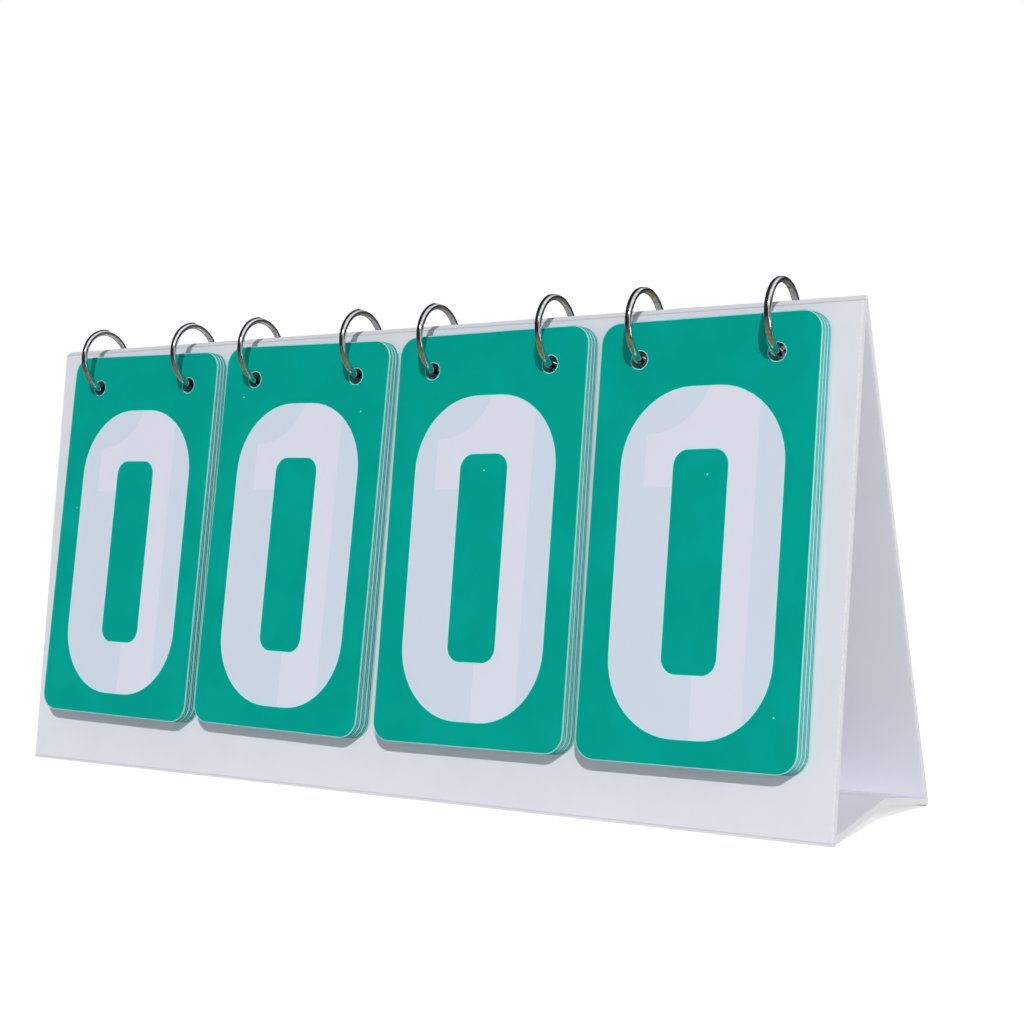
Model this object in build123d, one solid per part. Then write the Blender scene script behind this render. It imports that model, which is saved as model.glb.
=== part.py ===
from build123d import *
from math import atan2, cos, degrees, hypot, radians, sin, sqrt, tan
import os

os.makedirs("parts", exist_ok=True)

# Frame: X runs along the ridge, the front faces -Y, Z is up.
# The origin lies on the table, at mid width, under the middle of the front board's foot.

# Stand: two leaning panels, a narrow spine strip and a shallow base
crease_height = 180.7
front_foot = 22.44          # how far the front panel's foot lies in front of the crease
spine_rise = 2.0            # ridge above the front crease
spine_depth = 3.0           # ridge behind the front crease
rear_foot = 72.65           # how far the rear panel's foot lies behind the crease
board_thick = 2.5
fold_angle = 14.0           # closing turn of the rear panel, until the boards meet
fold_clearance = 0.15
hinge_gap = 0.3             # paper hinge between two boards
foot_round = 1.0            # rounded outer edge of the rear foot
base_thick = 2.5
base_crease_depth = 26.7    # raised crease of the base behind the front crease
base_crease_height = 6.8    # underside of the base at its raised crease
base_lift = 0.6             # underside of the base at both panels

# Digit cards
stack_count = 4
stack_gap = 5.4             # between neighbouring stacks
side_margin = 12.3          # board beside the outer stacks, when the row is central
stack_shift = 0.7           # the row hangs a little to the right
stack_turn = (0.9, 1.0, -0.3, -0.3)  # each stack hangs lower on its right by this angle
card_count = 10
card_width = 84.8
card_height = 156.8
card_corner = 7.5
card_thick = 0.38
card_gap = 0.04             # air between two cards at their top edges
card_drop = 3.4             # top edges below the front crease, along the panel
front_card_lift = 5.0       # front face of the first card off the panel, at the top
back_card_angle = -0.15     # lean of the last card against the panel
fan_angle = 0.112           # each card leans out more than the one behind it
card_ring_clearance = 0.91  # between a ring's wire and the side of the last card's hole
card_side_lead = 0.4        # the first card hangs this far left of its rings' middle
card_hole_dia = 6.5
card_hole_inset = 15.95     # hole centres from the card's side edges
card_hole_drop = 13.95      # hole centres from the card's top edge

# Hinged binder rings
ring_radius = 12.8          # to the middle of the wire
wire_dia = 2.6
ring_centre_lead = 3.65     # ring centre ahead of the front crease
ring_centre_drop = 6.3      # ring centre below the ridge
clasp_angle = 97.0          # around the ring, from straight back, over the top
clasp_gap = 0.1
peg_dia = 1.2
peg_length = 1.0
peg_clearance = 0.1
eye_dia = 3.6
eye_gap = 0.05              # side gap between the two eyes of a ring's hinge
rivet_dia = 1.2
rivet_clearance = 0.05
rivet_head_dia = 2.0
rivet_head = 0.3
front_hole_dia = 8.5
rear_hole_dia = 9.0
rear_hole_shift = 1.1       # lower than the wire, so that the stand can fold

stack_pitch = card_width + stack_gap
card_side_reach = (card_hole_dia - wire_dia) / 2 - card_ring_clearance
card_side_step = (card_side_reach + card_side_lead) / (card_count - 1)   # each hangs further right
stand_width = (stack_count - 1) * stack_pitch + card_width + 2 * side_margin
ridge_height = crease_height + spine_rise
front_lean = atan2(front_foot, crease_height)
rear_lean = atan2(rear_foot - spine_depth, ridge_height)
down_front = Vector(0, -sin(front_lean), -cos(front_lean))
out_front = Vector(0, -cos(front_lean), sin(front_lean))
down_rear = Vector(0, sin(rear_lean), -cos(rear_lean))
out_rear = Vector(0, cos(rear_lean), sin(rear_lean))
crease_depth = front_foot - board_thick / cos(front_lean) / 2
crease = Vector(0, crease_depth, crease_height)
ridge = Vector(0, crease_depth + spine_depth, ridge_height)
ring_centre = Vector(0, crease_depth - ring_centre_lead, ridge_height - ring_centre_drop)


def profile_bar(points, width):
    """Bar along X with the given outline in the YZ plane."""
    outline = Polyline(*[(p.Y, p.Z) for p in points], close=True)
    return extrude(Plane.YZ * make_face(outline), amount=width / 2, both=True)


def at_height(start, direction, height):
    """Point on a sloping line at a given height."""
    return start + direction * ((height - start.Z) / direction.Z)


def crossing(start, direction, outward, depth):
    """Distance down a board to where the ring's wire crosses its middle."""
    offset = ring_centre - start
    along = offset.dot(direction)
    across = offset.dot(outward) + depth
    return along + sqrt(ring_radius ** 2 - across ** 2)


def stack_centre(stack):
    """Middle of one stack of cards along the ridge."""
    return (stack - (stack_count - 1) / 2) * stack_pitch + stack_shift


def ring_places():
    """Place of every ring along the ridge, two to a stack."""
    half = card_width / 2 - card_hole_inset
    return [stack_centre(k) + side * half for k in range(stack_count) for side in (-1, 1)]


def ring_holes(start, direction, outward, distance, diameter):
    """Round holes through a board, one for each ring."""
    holes = []
    for x in ring_places():
        middle = start + direction * distance - outward * (board_thick / 2) + Vector(x, 0, 0)
        drill = Plane(origin=middle, x_dir=(1, 0, 0), z_dir=outward)
        holes.append(drill * Cylinder(diameter / 2, 3 * board_thick))
    return holes


def front_panel():
    """Front board, from its foot up to the front crease."""
    inner = crease - out_front * board_thick
    outline = [crease, at_height(crease, down_front, 0), at_height(inner, down_front, 0), inner]
    distance = crossing(crease, down_front, out_front, board_thick / 2)
    board = profile_bar(outline, stand_width)
    return board - ring_holes(crease, down_front, out_front, distance, front_hole_dia)


def spine_strip():
    """Narrow strip that joins the two panels along the ridge."""
    along = (ridge - crease).normalized()
    reach = board_thick / (-along.dot(out_front))
    outline = [crease, crease + along * reach, crease - out_front * board_thick]
    return profile_bar(outline, stand_width)


def rear_panel():
    """Rear board, mitred at the ridge so that it can fold towards the front."""
    closed = front_lean + rear_lean - radians(fold_angle)
    room = (crease - ridge).dot(out_front) - board_thick - fold_clearance
    start_depth = room / cos(closed) + hinge_gap * tan(closed)
    full_depth = (board_thick - room / cos(closed)) / tan(closed)
    inner = ridge - out_rear * board_thick
    outline = [
        ridge + down_rear * hinge_gap,
        at_height(ridge, down_rear, 0),
        at_height(inner, down_rear, 0),
        inner + down_rear * full_depth,
        ridge + down_rear * hinge_gap - out_rear * start_depth,
    ]
    distance = crossing(ridge, down_rear, out_rear, board_thick / 2) + rear_hole_shift
    board = profile_bar(outline, stand_width)
    foot = board.edges().filter_by(Axis.X).sort_by(Axis.Y)[-1]
    board = fillet(foot, foot_round)
    return board - ring_holes(ridge, down_rear, out_rear, distance, rear_hole_dia)


def base_web():
    """Scored base board, raised at its crease, between the two panels."""
    front_face = crease - out_front * board_thick
    rear_face = ridge - out_rear * (board_thick + hinge_gap)
    top_lift = base_lift + base_thick
    base_crease = crease_depth + base_crease_depth
    outline = [
        at_height(front_face, down_front, base_lift),
        Vector(0, base_crease, base_crease_height),
        at_height(rear_face, down_rear, base_lift),
        at_height(rear_face, down_rear, top_lift),
        Vector(0, base_crease, base_crease_height + base_thick),
        at_height(front_face, down_front, top_lift),
    ]
    return profile_bar(outline, stand_width)


def card(stack, place):
    """One card of a stack, counted from the front."""
    angle = radians(back_card_angle + (card_count - 1 - place) * fan_angle)
    turn = radians(stack_turn[stack])
    down = down_front * cos(angle) + out_front * sin(angle)
    outward = out_front * cos(angle) - down_front * sin(angle)
    across = Vector(1, 0, 0) * cos(turn) + down * sin(turn)
    lift = front_card_lift - place * (card_thick + card_gap)
    top = crease + down_front * card_drop + out_front * lift
    side = card_side_step * place - card_side_lead
    origin = top + down * card_hole_drop + Vector(stack_centre(stack), 0, 0) + across * side
    hole_x = card_width / 2 - card_hole_inset
    blank = Pos(0, card_hole_drop - card_height / 2) * RectangleRounded(card_width, card_height, card_corner)
    for hand in (-1, 1):
        blank -= Pos(hand * hole_x, 0) * Circle(card_hole_dia / 2)
    face = Plane(origin=origin, x_dir=across, z_dir=outward)
    return extrude(face * blank, amount=-card_thick)


def ring_point(x, angle):
    """Point on the middle of a ring's wire."""
    turn = radians(angle)
    return ring_centre + Vector(x, ring_radius * cos(turn), ring_radius * sin(turn))


def ring_tangent(angle):
    """Direction of the wire there, towards a larger angle."""
    return Vector(0, -sin(radians(angle)), cos(radians(angle)))


def wire_arc(x, start, sweep):
    """Round wire bent along part of a ring."""
    end_face = Plane(origin=ring_point(x, start), x_dir=(1, 0, 0), z_dir=ring_tangent(start))
    turn_axis = Axis(ring_centre + Vector(x, 0, 0), (1, 0, 0))
    return revolve(end_face * Circle(wire_dia / 2), axis=turn_axis, revolution_arc=sweep)


def pin(centre, diameter, start, end):
    """Cylinder along X between two distances from a centre."""
    middle = Plane(origin=centre + Vector((start + end) / 2, 0, 0), x_dir=(0, 1, 0), z_dir=(1, 0, 0))
    return middle * Cylinder(diameter / 2, end - start)


def clasp_pin(x, angle, diameter, length):
    """Cylinder along the wire at the clasp, towards a smaller angle."""
    start = Plane(origin=ring_point(x, angle), x_dir=(1, 0, 0), z_dir=ring_tangent(angle) * -1)
    return start * Pos(0, 0, length / 2) * Cylinder(diameter / 2, length)


def ring_front(x):
    """Front half of a ring with its hinge eye and clasp peg, and the rivet."""
    hinge = ring_point(x, clasp_angle + 180)
    side = wire_dia / 2
    half = wire_arc(x, clasp_angle, 180) + pin(hinge, eye_dia, eye_gap / 2, side)
    half -= pin(hinge, eye_dia + 2 * eye_gap, -2 * side, eye_gap / 2)
    half -= pin(hinge, rivet_dia, -side, side)
    half += clasp_pin(x, clasp_angle, peg_dia, peg_length)
    rivet = pin(hinge, rivet_dia, -side - eye_gap - rivet_head, side + rivet_head)
    rivet += pin(hinge, rivet_head_dia, side, side + rivet_head)
    rivet += pin(hinge, rivet_head_dia, -side - eye_gap - rivet_head, -side - eye_gap)
    return Compound(children=[half.solid(), rivet.solid()])


def ring_rear(x):
    """Rear half of a ring, which swings open on the rivet."""
    hinge = ring_point(x, clasp_angle + 180)
    side = wire_dia / 2
    end = clasp_angle - degrees(clasp_gap / ring_radius)
    half = wire_arc(x, clasp_angle - 180, end - clasp_angle + 180) + pin(hinge, eye_dia, -side, -eye_gap / 2)
    half -= pin(hinge, eye_dia + 2 * eye_gap, -eye_gap / 2, 2 * side)
    half -= pin(hinge, rivet_dia + 2 * rivet_clearance, -2 * side, side)
    half -= clasp_pin(x, clasp_angle, peg_dia + 2 * peg_clearance, peg_length + 2 * peg_clearance)
    return half.solid()


nodes = {
    "front_panel": front_panel(),
    "spine_strip": spine_strip(),
    "rear_panel": rear_panel(),
    "base_web": base_web(),
}
for stack in range(stack_count):
    for place in range(card_count):
        nodes[f"card_{stack + 1}_{place}"] = card(stack, place)
for number, x in enumerate(ring_places()):
    name = f"ring_{number // 2 + 1}_{('left', 'right')[number % 2]}"
    nodes[name + "_front"] = ring_front(x)
    nodes[name + "_rear"] = ring_rear(x)

for name, shape in nodes.items():
    export_step(shape, f"parts/{name}.step")
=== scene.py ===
import math
import bpy
import bmesh
from mathutils import Matrix, Vector


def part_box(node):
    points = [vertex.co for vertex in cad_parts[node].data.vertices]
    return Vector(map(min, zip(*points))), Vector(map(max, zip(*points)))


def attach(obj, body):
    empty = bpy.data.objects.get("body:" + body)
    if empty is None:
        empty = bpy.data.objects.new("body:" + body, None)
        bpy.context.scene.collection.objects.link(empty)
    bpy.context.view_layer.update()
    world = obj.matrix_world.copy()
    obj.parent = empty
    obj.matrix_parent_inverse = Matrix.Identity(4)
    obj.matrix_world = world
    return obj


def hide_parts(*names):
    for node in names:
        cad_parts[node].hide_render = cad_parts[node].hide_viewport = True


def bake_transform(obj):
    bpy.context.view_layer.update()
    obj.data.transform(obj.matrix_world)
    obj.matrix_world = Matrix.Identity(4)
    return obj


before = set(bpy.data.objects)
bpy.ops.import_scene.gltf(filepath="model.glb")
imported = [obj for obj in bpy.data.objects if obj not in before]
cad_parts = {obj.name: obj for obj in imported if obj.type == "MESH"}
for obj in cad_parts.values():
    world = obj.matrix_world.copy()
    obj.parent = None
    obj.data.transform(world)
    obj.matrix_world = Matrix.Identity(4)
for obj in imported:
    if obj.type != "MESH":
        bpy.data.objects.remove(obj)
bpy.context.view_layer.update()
print("frame loaded")

mm = 0.001


def srgb(r, g, b):
    def lin(v):
        v = v / 255
        return v / 12.92 if v <= 0.04045 else ((v + 0.055) / 1.055) ** 2.4
    return (lin(r), lin(g), lin(b), 1.0)


def newMaterial(name):
    mat = bpy.data.materials.new(name)
    mat.use_nodes = True
    return mat, mat.node_tree, mat.node_tree.nodes["Principled BSDF"]


def addNode(tree, kind, **values):
    node = tree.nodes.new(kind)
    for key, value in values.items():
        setattr(node, key, value)
    return node


def link(tree, a, b):
    tree.links.new(a, b)


def mathNode(tree, operation, a, b=None, c=None):
    node = addNode(tree, "ShaderNodeMath", operation=operation)
    for i, value in enumerate((a, b, c)):
        if value is None:
            continue
        if isinstance(value, (int, float)):
            node.inputs[i].default_value = value
        else:
            link(tree, value, node.inputs[i])
    return node.outputs[0]


def mixColour(tree, amount, a, b):
    node = addNode(tree, "ShaderNodeMix", data_type="RGBA")
    if isinstance(amount, (int, float)):
        node.inputs[0].default_value = amount
    else:
        link(tree, amount, node.inputs[0])
    for i, value in ((6, a), (7, b)):
        if isinstance(value, tuple):
            node.inputs[i].default_value = value
        else:
            link(tree, value, node.inputs[i])
    return node.outputs[2]


def ramp(tree, value, low, high):
    node = addNode(tree, "ShaderNodeMapRange", interpolation_type="SMOOTHSTEP")
    link(tree, value, node.inputs[0])
    node.inputs[1].default_value = low
    node.inputs[2].default_value = high
    return node.outputs[0]


def noise(tree, vector, scale, detail=3.0):
    node = addNode(tree, "ShaderNodeTexNoise")
    link(tree, vector, node.inputs["Vector"])
    node.inputs["Scale"].default_value = scale
    node.inputs["Detail"].default_value = detail
    return node.outputs[0]


def specks(tree, vector, scale, size, share):
    x, _, z = split(tree, vector)
    flat = addNode(tree, "ShaderNodeCombineXYZ")
    link(tree, x, flat.inputs[0])
    link(tree, z, flat.inputs[1])
    node = addNode(tree, "ShaderNodeTexVoronoi", voronoi_dimensions="2D")
    link(tree, flat.outputs[0], node.inputs["Vector"])
    node.inputs["Scale"].default_value = scale
    near = mathNode(tree, "LESS_THAN", node.outputs["Distance"], size)
    parts = addNode(tree, "ShaderNodeSeparateColor")
    link(tree, node.outputs["Color"], parts.inputs[0])
    return mathNode(tree, "MULTIPLY", near, mathNode(tree, "LESS_THAN", parts.outputs[0], share))


def bump(tree, height, strength, distance, shader):
    node = addNode(tree, "ShaderNodeBump")
    node.inputs["Strength"].default_value = strength
    node.inputs["Distance"].default_value = distance
    link(tree, height, node.inputs["Height"])
    link(tree, node.outputs[0], shader.inputs["Normal"])


def split(tree, vector):
    node = addNode(tree, "ShaderNodeSeparateXYZ")
    link(tree, vector, node.inputs[0])
    return node.outputs


def coords(tree):
    return addNode(tree, "ShaderNodeTexCoord").outputs


wrap = {
    "paper": srgb(236, 236, 245),
    "shade": srgb(231, 231, 242),
    "shadeShare": 0.6,
    "edge": srgb(246, 246, 250),
    "fold": srgb(168, 172, 188),
    "creasePlace": (21.18 * mm, 180.7 * mm),
    "creaseShadeWeight": 0.5,
    "footFold": 0.9 * mm,
    "footShadeWeight": 0.4,
    "foldWidth": 0.4 * mm,
    "frontDepth": 1.2 * mm,      # the painted fold shade shows on the front this far behind the crease
    "endHighlightWidth": 1.2 * mm,
    "endHighlightInset": 0.2 * mm,
    "roughness": 0.48,
    "fibreScale": 1900.0,
    "mottleScale": 24.0,
    "halfWidth": 0.190,
    "bevel": 0.35 * mm,
    "webCuts": 20,
}


def wrapMaterial():
    mat, tree, shader = newMaterial("wrapPaper")
    place = coords(tree)["Object"]
    x, y, z = split(tree, place)
    mottle = noise(tree, place, wrap["mottleScale"], 4.0)
    fine = noise(tree, place, wrap["fibreScale"], 3.0)
    amount = mathNode(tree, "MULTIPLY", ramp(tree, mottle, 0.35, 0.65), wrap["shadeShare"])
    colour = mixColour(tree, amount, wrap["paper"], wrap["shade"])
    # painted highlight: the paper turns lighter close to both ends of the board, where the end catches
    # the light
    side = mathNode(tree, "ABSOLUTE", x)
    end = wrap["halfWidth"]
    endHighlight = ramp(tree, side, end - wrap["endHighlightWidth"], end - wrap["endHighlightInset"])
    endHighlight = mathNode(tree, "MULTIPLY", endHighlight, ramp(tree, fine, 0.4, 0.6))   # painted highlight along both ends, made patchy
    colour = mixColour(tree, endHighlight, colour, wrap["edge"])
    # painted shade: darker lines along the crease near the top and along the fold at the foot, on the
    # front only
    creaseDepth, creaseHeight = wrap["creasePlace"]
    front = mathNode(tree, "LESS_THAN", y, creaseDepth + wrap["frontDepth"])
    for height, dark in ((creaseHeight, wrap["creaseShadeWeight"]), (wrap["footFold"], wrap["footShadeWeight"])):
        foldShadeMask = mathNode(tree, "ABSOLUTE", mathNode(tree, "SUBTRACT", z, height))
        foldShadeMask = mathNode(tree, "SUBTRACT", 1.0, ramp(tree, foldShadeMask, wrap["foldWidth"] / 4, wrap["foldWidth"]))
        foldShadeMask = mathNode(tree, "MULTIPLY", foldShadeMask, mathNode(tree, "MULTIPLY", front, dark))
        colour = mixColour(tree, foldShadeMask, colour, wrap["fold"])
    link(tree, colour, shader.inputs["Base Color"])
    rough = mathNode(tree, "MULTIPLY_ADD", mottle, 0.14, wrap["roughness"] - 0.07)
    link(tree, rough, shader.inputs["Roughness"])
    shader.inputs["Specular IOR Level"].default_value = 0.35
    bump(tree, fine, 0.3, 0.03 * mm, shader)
    return mat


def setMaterial(piece, mat):
    piece.data.materials.clear()
    piece.data.materials.append(mat)


def roundEdges(piece, width):
    mod = piece.modifiers.new("soften", "BEVEL")
    mod.width = width
    mod.segments = 2
    mod.limit_method = "ANGLE"
    mod.angle_limit = math.radians(50)


def makeWeb(mat):
    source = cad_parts["base_web"]
    bm = bmesh.new()
    bm.from_mesh(source.data)
    low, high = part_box("base_web")
    for i in range(1, wrap["webCuts"]):
        y = low.y + (high.y - low.y) * i / wrap["webCuts"]
        geom = bm.verts[:] + bm.edges[:] + bm.faces[:]
        bmesh.ops.bisect_plane(bm, geom=geom, plane_co=(0, y, 0), plane_no=(0, 1, 0))
    mesh = bpy.data.meshes.new("baseWeb")
    bm.to_mesh(mesh)
    bm.free()
    web = bpy.data.objects.new("baseWeb", mesh)
    bpy.context.scene.collection.objects.link(web)
    setMaterial(web, mat)
    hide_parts("base_web")
    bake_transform(web)


paperMat = wrapMaterial()
for name in ("front_panel", "spine_strip", "rear_panel", "base_web"):
    setMaterial(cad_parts[name], paperMat)
for name in ("front_panel", "rear_panel"):
    roundEdges(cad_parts[name], wrap["bevel"])
makeWeb(paperMat)
print("stand done")

cards = {
    "green": srgb(0, 168, 154),
    "deep": srgb(0, 162, 148),
    "cloudScale": 45.0,
    "grainScale": 1500.0,
    "edge": srgb(190, 254, 255),
    # painted highlight along the card's border and hole edges
    "rim": srgb(170, 238, 236),
    "roughness": 0.5,
    # painted shade on the cut edges of the cards that are not given the bright edge
    "edgePaintedShade": srgb(28, 120, 132),
    # painted shade on the walls of the ring holes
    "holeWallShade": srgb(24, 62, 66),
    "holeZone": (4.8 * mm, 163 * mm, 8 * mm),    # around the holes: half width, height, half height
    "speck": srgb(190, 225, 225),
    "speckScale": 65.0,
    "speckSize": 0.018,
    "speckShare": 0.06,
    "litEdgePlaces": (0, 3, 6, 9),
    "rimWidth": 0.25 * mm,
    "crease": (0, 21.1804, 180.7),   # the values from here on repeat the part's
    "frontFoot": 22.44,
    "stackPitch": 90.2,
    "stackShift": 0.7,
    "sideStep": 0.16,
    "sideLead": 0.4,
    "turns": (0.9, 1.0, -0.3, -0.3),
    "count": 10,
    "width": 84.8,
    "height": 156.8,
    "corner": 7.5,
    "pitch": 0.42,
    "drop": 3.4,
    "lift": 5.0,
    "backAngle": -0.15,
    "fanAngle": 0.112,
    "holeDrop": 13.95,
    "holeHalf": 26.45,
    "holeRadius": 3.25,
}


def cardMaterial(name, edge):
    mat, tree, shader = newMaterial(name)
    ends = coords(tree)
    place = ends["Object"]
    facing = mathNode(tree, "ABSOLUTE", split(tree, ends["Normal"])[1])
    cloud = noise(tree, place, cards["cloudScale"])
    fine = noise(tree, place, cards["grainScale"], 2.0)
    colour = mixColour(tree, ramp(tree, cloud, 0.3, 0.7), cards["green"], cards["deep"])
    dust = specks(tree, place, cards["speckScale"], cards["speckSize"], cards["speckShare"])
    colour = mixColour(tree, dust, colour, cards["speck"])
    x, _, z = split(tree, place)
    # painted shade: the cut edges turn dark teal around the ring holes
    halfWide, height, halfHigh = cards["holeZone"]
    pitch = cards["stackPitch"] * mm
    fromLeft = mathNode(tree, "ADD", x, 2 * pitch - cards["stackShift"] * mm)
    inPitch = mathNode(tree, "FLOORED_MODULO", fromLeft, pitch)
    off = mathNode(tree, "ABSOLUTE", mathNode(tree, "SUBTRACT", inPitch, pitch / 2))
    holeShadeMask = mathNode(tree, "COMPARE", off, cards["holeHalf"] * mm, halfWide)
    holeShadeMask = mathNode(tree, "MULTIPLY", holeShadeMask, mathNode(tree, "COMPARE", z, height, halfHigh))
    edgeWithHoleShade = mixColour(tree, holeShadeMask, edge, cards["holeWallShade"])
    cutEdge = mathNode(tree, "LESS_THAN", facing, 0.7)
    link(tree, mixColour(tree, cutEdge, colour, edgeWithHoleShade), shader.inputs["Base Color"])
    rough = mathNode(tree, "MULTIPLY_ADD", cloud, 0.12, cards["roughness"] - 0.06)
    link(tree, rough, shader.inputs["Roughness"])
    shader.inputs["Specular IOR Level"].default_value = 0.04
    bump(tree, fine, 0.12, 0.02 * mm, shader)
    return mat


def cardPlane(stack, place):
    lean = math.atan2(cards["frontFoot"], cards["crease"][2])
    down = Vector((0, -math.sin(lean), -math.cos(lean)))
    out = Vector((0, -math.cos(lean), math.sin(lean)))
    angle = math.radians(cards["backAngle"] + (cards["count"] - 1 - place) * cards["fanAngle"])
    turn = math.radians(cards["turns"][stack - 1])
    slope = down * math.cos(angle) + out * math.sin(angle)
    outward = out * math.cos(angle) - down * math.sin(angle)
    across = Vector((1, 0, 0)) * math.cos(turn) + slope * math.sin(turn)
    top = Vector(cards["crease"]) + down * cards["drop"] + out * (cards["lift"] - place * cards["pitch"])
    centre = (stack - 2.5) * cards["stackPitch"] + cards["stackShift"]
    side = cards["sideStep"] * place - cards["sideLead"]
    origin = top + slope * cards["holeDrop"] + Vector((centre, 0, 0)) + across * side
    return origin * mm, across, outward.cross(across), outward


# lit and shaded copies of the card: the cut edges of some cards get a painted highlight, the others
# painted shade
cardPaintedLitEdge = cardMaterial("cardPaintedLitEdge", cards["edge"])
cardPaintedShadedEdge = cardMaterial("cardPaintedShadedEdge", cards["edgePaintedShade"])
for stack in range(1, 5):
    for place in range(cards["count"]):
        mat = cardPaintedLitEdge if place in cards["litEdgePlaces"] else cardPaintedShadedEdge
        setMaterial(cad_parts[f"card_{stack}_{place}"], mat)
print("cards done")

digits = {
    "lavender": srgb(229, 232, 246),
    "bluish": srgb(217, 227, 242),
    "cloudScale": 60.0,
    "rimScale": 300.0,
    "roughness": 0.5,
    "left": 31.2,            # half width of a digit
    "tall": 115.0,           # height before the stretch
    "stroke": 20.3,
    "bend": 16.0,            # radius of the middle of a stroke at its corners
    "stretch": 1.0655,
    "top": 10.7,             # below the holes
    "shift": 0.3,
    "rim": 0.35,
    "proud": 0.016,
    "rimProud": 0.009,
    "oneStem": (1.5, 21.0),      # left and right edges of the 1's stem
    "oneFlag": (-22.0, -33.6),   # left and low edges of its flag
    "oneHollow": (-22.0, 8.0, 25.0),     # round cut above the flag: centre and radius
    "ghostStem": (2.05, 21.5),   # the same, stretched, as it shows through the 0
    "ghostFlag": (-21.5, -46.0),
    "ghostHollow": (-21.5, -2.0, 25.0),
    "ghostSoft": 0.3,
    "uvSpan": 200,               # millimetres of card across the layer cardPlace
}


def rounded(points, radius, closed):
    result = []
    count = len(points)
    for i, p in enumerate(points):
        p = Vector(p)
        if not closed and i in (0, count - 1):
            result.append(p)
            continue
        a = (Vector(points[i - 1]) - p).normalized()
        b = (Vector(points[(i + 1) % count]) - p).normalized()
        half = a.angle(b) / 2
        reach = radius / math.tan(half)
        middle = p + (a + b).normalized() * radius / math.sin(half)
        start = p + a * reach - middle
        sweep = math.pi - 2 * half
        sign = 1 if a.x * b.y - a.y * b.x < 0 else -1
        for step in range(13):
            t = sign * sweep * step / 12
            turned = start.copy()
            turned.rotate(Matrix.Rotation(t, 2))
            result.append(middle + turned)
    return result


def ribbon(points, width, closed, cap=0.0):
    left, right = [], []
    count = len(points)
    for i, p in enumerate(points):
        before = points[i - 1] if closed or i else p
        after = points[(i + 1) % count] if closed or i < count - 1 else p
        along = (after - before).normalized()
        spot = p.copy()
        if not closed and i == 0:
            spot = p - along * cap
        if not closed and i == count - 1:
            spot = p + along * cap
        side = Vector((-along.y, along.x)) * width / 2
        left.append(spot + side)
        right.append(spot - side)
    last = count if closed else count - 1
    return [[left[i], right[i], right[(i + 1) % count], left[(i + 1) % count]] for i in range(last)]


def strokes(number):
    half = digits["left"] - digits["stroke"] / 2
    top = -digits["stroke"] / 2
    low = -digits["tall"] - top
    mid = -digits["tall"] / 2
    out = digits["left"]
    ring = [(-half, top), (half, top), (half, low), (-half, low)]
    hook = [(half, -32), (half, top), (-half, top), (-half, low), (half, low), (half, -53), (-half, -53)]
    two = [(-half, -36), (-half, top), (half, top), (half, mid), (-half, mid), (-half, low), (out, low)]
    three = [(-half, -32), (-half, top), (half, top), (half, low), (-half, low), (-half, -84)]
    five = [(28, top), (-half, top), (-half, -53), (half, -53), (half, low), (-half, low), (-half, -83)]
    return {     # corners in millimetres before the stretch, and whether the stroke closes
        0: [(ring, True)],
        2: [(two, False)],
        3: [(three, False), ([(-8, mid), (half, mid)], False)],
        4: [([(-half, 0), (-half, -72), (out, -72)], False), ([(14, 0), (14, -digits["tall"])], False)],
        5: [(five, False)],
        6: [(hook, False)],
        7: [([(-out, top), (half, top), (-2, -digits["tall"])], False)],
        8: [(ring, True), ([(-half, mid), (half, mid)], False)],
        9: [([(-x, -digits["tall"] - y) for x, y in hook], False)],
    }[number]


def oneShape(grow):
    left, right = digits["oneStem"]
    flagLeft, flagLow = digits["oneFlag"]
    hollowX, hollowY, hollowRadius = digits["oneHollow"]
    low = -digits["tall"] - grow
    stem = [(left - grow, grow), (right + grow, grow), (right + grow, low), (left - grow, low)]
    hollow = []
    for step in range(17):
        t = math.radians(-90 + 71 * step / 16)
        x = hollowX + (hollowRadius - grow) * math.cos(t)
        y = (hollowY + (hollowRadius - grow) * math.sin(t)) / digits["stretch"]
        hollow.append((x, y))
    flag = [(flagLeft - grow, hollow[0][1])] + hollow
    flag += [(left, grow), (left, flagLow - grow), (flagLeft - grow, flagLow - grow)]
    return [[Vector(p) for p in stem], [Vector(p) for p in flag]]


def digitFaces(number, grow):
    if number == 1:
        shapes = oneShape(grow)
    else:
        shapes = []
        width = digits["stroke"] + 2 * grow
        for points, closed in strokes(number):
            shapes += ribbon(rounded(points, digits["bend"], closed), width, closed, grow)
    faces = []
    for shape in shapes:
        faces.append([(p.x + digits["shift"], p.y * digits["stretch"] - digits["top"]) for p in shape])
    return faces


def outline(halfWide, top, low, corner, inset):
    loop = []
    for cx, cy, start in ((halfWide - corner, top - corner, 0), (corner - halfWide, top - corner, 90),
                          (corner - halfWide, low + corner, 180), (halfWide - corner, low + corner, 270)):
        for step in range(9):
            t = math.radians(start + 90 * step / 8)
            loop.append((cx + (corner - inset) * math.cos(t), cy + (corner - inset) * math.sin(t)))
    return loop


def between(a, b):
    return [[a[i], a[(i + 1) % len(a)], b[(i + 1) % len(b)], b[i]] for i in range(len(a))]


def borderFaces():
    half = cards["width"] / 2
    top = cards["holeDrop"]
    low = top - cards["height"]
    width = cards["rimWidth"] / mm
    outer = outline(half, top, low, cards["corner"], 0.05)
    faces = between(outer, outline(half, top, low, cards["corner"], width))
    for side in (-1, 1):
        loops = []
        for radius in (cards["holeRadius"] + 0.05, cards["holeRadius"] + width):
            loop = []
            for i in range(32):
                t = 2 * math.pi * i / 32
                loop.append((side * cards["holeHalf"] + radius * math.cos(t), radius * math.sin(t)))
            loops.append(loop)
        faces += between(*loops)
    return faces


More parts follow.
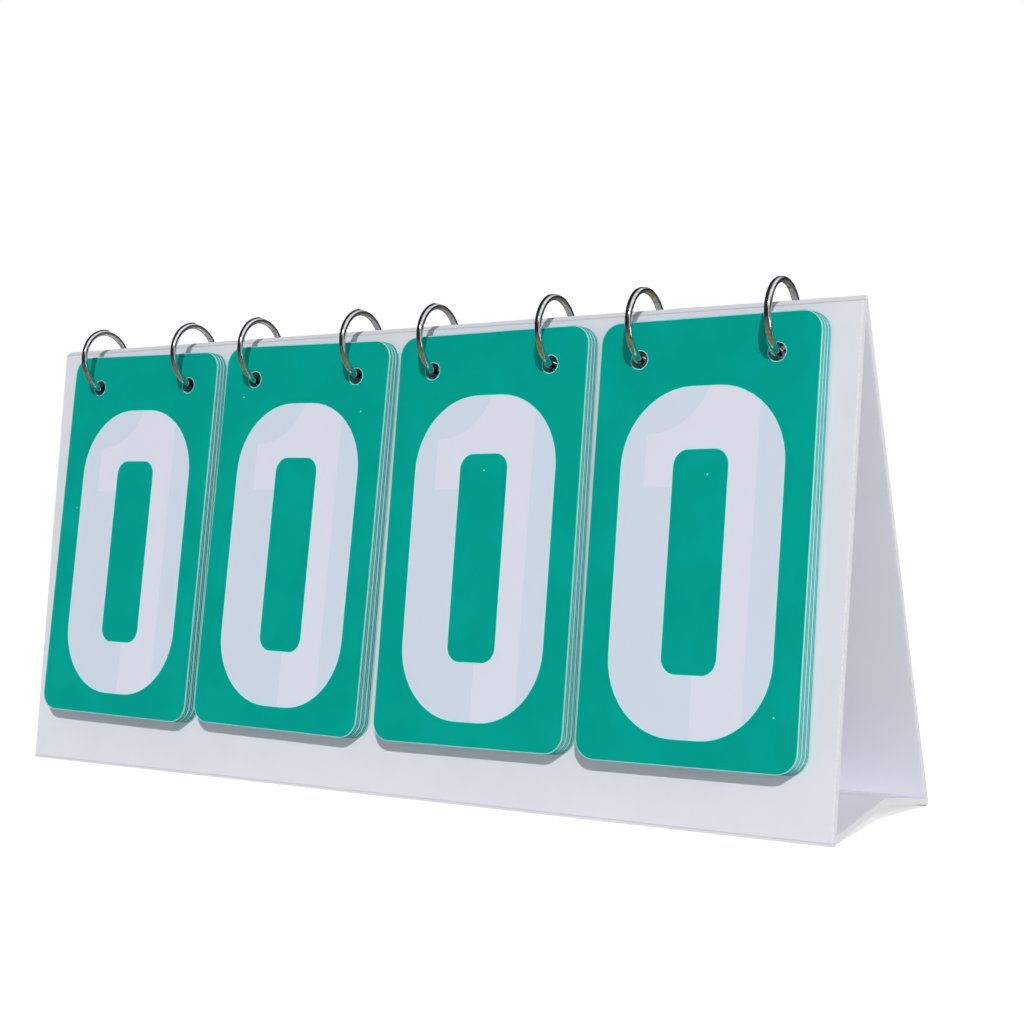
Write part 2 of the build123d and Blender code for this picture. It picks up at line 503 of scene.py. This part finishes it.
def printMaterial(name, seeThrough):
    mat, tree, shader = newMaterial(name)
    ends = coords(tree)
    cloud = noise(tree, ends["Object"], digits["cloudScale"])
    colour = mixColour(tree, mathNode(tree, "MULTIPLY", cloud, 0.3), digits["lavender"], digits["bluish"])
    if seeThrough:       # the next card's figure shows faintly through the ink
        u, v, _ = split(tree, ends["UV"])
        span, soft = digits["uvSpan"], digits["ghostSoft"]
        left, right = digits["ghostStem"]
        flagLeft, flagLow = digits["ghostFlag"]
        hollowX, hollowY, hollowRadius = digits["ghostHollow"]
        x = mathNode(tree, "MULTIPLY", mathNode(tree, "SUBTRACT", u, 0.5), span)
        y = mathNode(tree, "MULTIPLY", mathNode(tree, "SUBTRACT", v, 1.0), span)
        inStem = ramp(tree, x, left - soft, left + soft)
        beforeEnd = mathNode(tree, "SUBTRACT", 1.0, ramp(tree, x, right - soft, right + soft))
        stem = mathNode(tree, "MULTIPLY", inStem, beforeEnd)
        beforeStem = mathNode(tree, "SUBTRACT", 1.0, inStem)
        flag = mathNode(tree, "MULTIPLY", ramp(tree, x, flagLeft - soft, flagLeft + soft), beforeStem)
        dx = mathNode(tree, "SUBTRACT", x, hollowX)
        dy = mathNode(tree, "SUBTRACT", y, hollowY)
        dxSquare = mathNode(tree, "MULTIPLY", dx, dx)
        far = mathNode(tree, "SQRT", mathNode(tree, "MULTIPLY_ADD", dy, dy, dxSquare))
        flag = mathNode(tree, "MULTIPLY", flag, ramp(tree, far, hollowRadius - soft, hollowRadius + soft))
        flag = mathNode(tree, "MULTIPLY", flag, ramp(tree, y, flagLow - soft, flagLow + soft))
        colour = mixColour(tree, mathNode(tree, "ADD", stem, flag), digits["bluish"], digits["lavender"])
    link(tree, colour, shader.inputs["Base Color"])
    rough = mathNode(tree, "MULTIPLY_ADD", cloud, 0.12, digits["roughness"] - 0.06)
    link(tree, rough, shader.inputs["Roughness"])
    shader.inputs["Specular IOR Level"].default_value = 0.15
    return mat


# painted highlight: a light cyan line along the card's border and the hole edges, where the edges catch
# the light; the same light line also runs round each digit
def rimLineAndHighlightMaterial():
    mat, tree, shader = newMaterial("rimLineAndHighlight")
    cloud = noise(tree, coords(tree)["Object"], digits["rimScale"])
    link(tree, mixColour(tree, cloud, cards["rim"], cards["edge"]), shader.inputs["Base Color"])
    shader.inputs["Roughness"].default_value = 0.5
    shader.inputs["Specular IOR Level"].default_value = 0.15
    return mat


def addPrint(stack, place, layers):
    origin, across, up, outward = cardPlane(stack, place)
    verts, faces, slots, flat = [], [], [], []
    for slotIndex, proud, shapes in layers:
        for shape in shapes:
            first = len(verts)
            for x, y in shape:
                verts.append(origin + (across * x + up * y + outward * proud) * mm)
                flat.append((x, y))
            face = list(range(first, first + len(shape)))
            area = 0
            for i, (x, y) in enumerate(shape):
                area += shape[i - 1][0] * y - x * shape[i - 1][1]
            faces.append(face if area > 0 else face[::-1])
            slots.append(slotIndex)
    name = f"print{stack}x{place}"
    mesh = bpy.data.meshes.new(name)
    mesh.from_pydata(verts, [], faces)
    mesh.materials.append(frontInk if place == 0 else backInk)
    mesh.materials.append(rimLineAndHighlight)
    layer = mesh.uv_layers.new(name="cardPlace")
    for poly in mesh.polygons:
        poly.material_index = slots[poly.index]
        for loop in poly.loop_indices:
            x, y = flat[mesh.loops[loop].vertex_index]
            layer.data[loop].uv = (0.5 + x / digits["uvSpan"], 1 + y / digits["uvSpan"])
    obj = bpy.data.objects.new(name, mesh)
    bpy.context.scene.collection.objects.link(obj)
    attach(obj, f"front_card_{stack}" if place == 0 else f"pack_{stack}")


frontInk = printMaterial("frontInk", True)
backInk = printMaterial("backInk", False)
rimLineAndHighlight = rimLineAndHighlightMaterial()
for stack in range(1, 5):
    for place in range(cards["count"]):
        addPrint(stack, place, (
            (1, digits["rimProud"], borderFaces() + digitFaces(place, digits["rim"])),
            (0, digits["proud"], digitFaces(place, 0.0)),
        ))
print("prints done")

rings = {
    "metal": srgb(216, 219, 224),
    "worn": srgb(184, 184, 184),
    "roughness": 0.09,
    "wearScale": 900.0,
    "grainScale": 4200.0,
}


def ringMaterial():
    mat, tree, shader = newMaterial("nickelWire")
    place = coords(tree)["Object"]
    wear = noise(tree, place, rings["wearScale"], 4.0)
    fine = noise(tree, place, rings["grainScale"], 2.0)
    shader.inputs["Metallic"].default_value = 1.0
    colour = mixColour(tree, ramp(tree, wear, 0.35, 0.7), rings["metal"], rings["worn"])
    link(tree, colour, shader.inputs["Base Color"])
    rough = mathNode(tree, "MULTIPLY_ADD", wear, 0.12, rings["roughness"] - 0.06)
    link(tree, rough, shader.inputs["Roughness"])
    bump(tree, fine, 0.15, 0.01 * mm, shader)
    return mat


ringMat = ringMaterial()
for name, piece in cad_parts.items():
    if name.startswith("ring_"):
        setMaterial(piece, ringMat)
print("rings done")

room = {
    "floorSize": 6.0,
    "floorGlow": 0.62,
    "keyPower": 1.95,
    "keyColour": (1, 0.985, 0.96),
    "keyFrom": (0.46, -0.72, 0.54),
    "keySpread": 1.2,
    "fillPower": 1.4,
    "fillPlace": (1.35, -0.55, 0.35),
    "fillAim": (0.19, 0.05, 0.08),
    "fillSize": 0.9,
    "insidePower": 0.2,
    "insidePlace": (0.62, 0.03, 0.12),   # level with the open end, for the base
    "insideAim": (0.17, 0.05, 0),
    "insideSize": 0.12,
    "backPower": 4.5,
    "backPlace": (-0.25, 1.1, 0.7),      # soft light on the plain back
    "backAim": (0, 0.06, 0.09),
    "backSize": 0.8,
    "worldStrength": 0.27,
    "ringDark": 0.04,            # what the metal mirrors: the room, and a bright band above
    "ringBand": 1.5,
    "nearInMetal": (0.30, 0.235, 0.10, 1),
    "farInMetal": (0.10, 0.115, 0.14, 1),
}


def makeFloor():
    bpy.ops.mesh.primitive_plane_add(size=room["floorSize"], location=(0, 0, -0.0002))
    floor = bpy.context.object
    floor.name = "floor"
    mat, tree, shader = newMaterial("floorWhite")
    shader.inputs["Base Color"].default_value = (0.8, 0.8, 0.8, 1)
    shader.inputs["Roughness"].default_value = 0.8
    shader.inputs["Specular IOR Level"].default_value = 0.1
    path = addNode(tree, "ShaderNodeLightPath")
    seen = mathNode(tree, "MAXIMUM", path.outputs["Is Camera Ray"], path.outputs["Is Transmission Ray"])
    glow = addNode(tree, "ShaderNodeEmission")
    glow.inputs[0].default_value = (1, 1, 1, 1)
    glow.inputs[1].default_value = room["floorGlow"]
    both = addNode(tree, "ShaderNodeAddShader")
    chosen = addNode(tree, "ShaderNodeMixShader")
    mirrored = addNode(tree, "ShaderNodeMixShader")
    dim = addNode(tree, "ShaderNodeEmission")
    away = addNode(tree, "ShaderNodeVectorMath", operation="LENGTH")
    link(tree, coords(tree)["Object"], away.inputs[0])
    distance = ramp(tree, away.outputs["Value"], 0.15, 0.8)
    tone = mixColour(tree, distance, room["nearInMetal"], room["farInMetal"])
    link(tree, tone, dim.inputs[0])
    link(tree, shader.outputs[0], both.inputs[0])
    link(tree, glow.outputs[0], both.inputs[1])
    link(tree, seen, chosen.inputs[0])
    link(tree, shader.outputs[0], chosen.inputs[1])
    link(tree, both.outputs[0], chosen.inputs[2])
    link(tree, path.outputs["Is Glossy Ray"], mirrored.inputs[0])
    link(tree, chosen.outputs[0], mirrored.inputs[1])
    link(tree, dim.outputs[0], mirrored.inputs[2])
    link(tree, mirrored.outputs[0], tree.nodes["Material Output"].inputs[0])
    floor.data.materials.append(mat)


def makeWorld():
    world = bpy.data.worlds.new("studio")
    bpy.context.scene.world = world
    world.use_nodes = True
    tree = world.node_tree
    soft = tree.nodes["Background"]
    soft.inputs[0].default_value = (0.93, 0.96, 1.0, 1)
    soft.inputs[1].default_value = room["worldStrength"]
    white = addNode(tree, "ShaderNodeBackground")
    white.inputs[0].default_value = (1, 1, 1, 1)
    dark = addNode(tree, "ShaderNodeBackground")      # what polished metal mirrors
    way = split(tree, coords(tree)["Generated"])
    band = mathNode(tree, "MULTIPLY", ramp(tree, way[2], 0.25, 0.6), ramp(tree, way[0], 0.0, 0.6))
    link(tree, mathNode(tree, "MULTIPLY_ADD", band, room["ringBand"], room["ringDark"]), dark.inputs[1])
    path = addNode(tree, "ShaderNodeLightPath")
    seen = mathNode(tree, "MAXIMUM", path.outputs["Is Camera Ray"], path.outputs["Is Transmission Ray"])
    first = addNode(tree, "ShaderNodeMixShader")
    second = addNode(tree, "ShaderNodeMixShader")
    link(tree, path.outputs["Is Glossy Ray"], first.inputs[0])
    link(tree, soft.outputs[0], first.inputs[1])
    link(tree, dark.outputs[0], first.inputs[2])
    link(tree, seen, second.inputs[0])
    link(tree, first.outputs[0], second.inputs[1])
    link(tree, white.outputs[0], second.inputs[2])
    link(tree, second.outputs[0], tree.nodes["World Output"].inputs[0])


def areaLight(name, place, target, size, power):
    data = bpy.data.lights.new(name, "AREA")
    data.shape = "DISK"
    data.size = size
    data.energy = power
    lamp = bpy.data.objects.new(name, data)
    bpy.context.scene.collection.objects.link(lamp)
    lamp.location = place
    lamp.rotation_euler = (Vector(target) - Vector(place)).to_track_quat("-Z", "Y").to_euler()
    lamp.visible_camera = False


def sunLight(name, source, spread, power, colour):
    data = bpy.data.lights.new(name, "SUN")
    data.angle = math.radians(spread)
    data.energy = power
    data.color = colour
    lamp = bpy.data.objects.new(name, data)
    bpy.context.scene.collection.objects.link(lamp)
    lamp.rotation_euler = (-Vector(source)).to_track_quat("-Z", "Y").to_euler()


camera = {
    "place": (0.39674, -0.51933, 0.11033),
    "turn": 32.666,
    "tilt": -3.211,
    "lens": 59.22,
    "shiftX": 0.0007,
    "shiftY": 0.0912,
}


def makeCamera():
    data = bpy.data.cameras.new("camera")
    data.lens = camera["lens"]
    data.sensor_width = 36.0
    data.shift_x = camera["shiftX"]
    data.shift_y = camera["shiftY"]
    data.clip_start = 0.01
    obj = bpy.data.objects.new("camera", data)
    bpy.context.scene.collection.objects.link(obj)
    obj.location = camera["place"]
    obj.rotation_euler = (math.radians(90 + camera["tilt"]), 0, math.radians(camera["turn"]))
    bpy.context.scene.camera = obj


makeFloor()
makeWorld()
sunLight("keyLamp", room["keyFrom"], room["keySpread"], room["keyPower"], room["keyColour"])
areaLight("fillLamp", room["fillPlace"], room["fillAim"], room["fillSize"], room["fillPower"])
areaLight("insideLamp", room["insidePlace"], room["insideAim"], room["insideSize"], room["insidePower"])
areaLight("backLamp", room["backPlace"], room["backAim"], room["backSize"], room["backPower"])
makeCamera()
bpy.context.scene.view_settings.view_transform = "Standard"
print("room done")
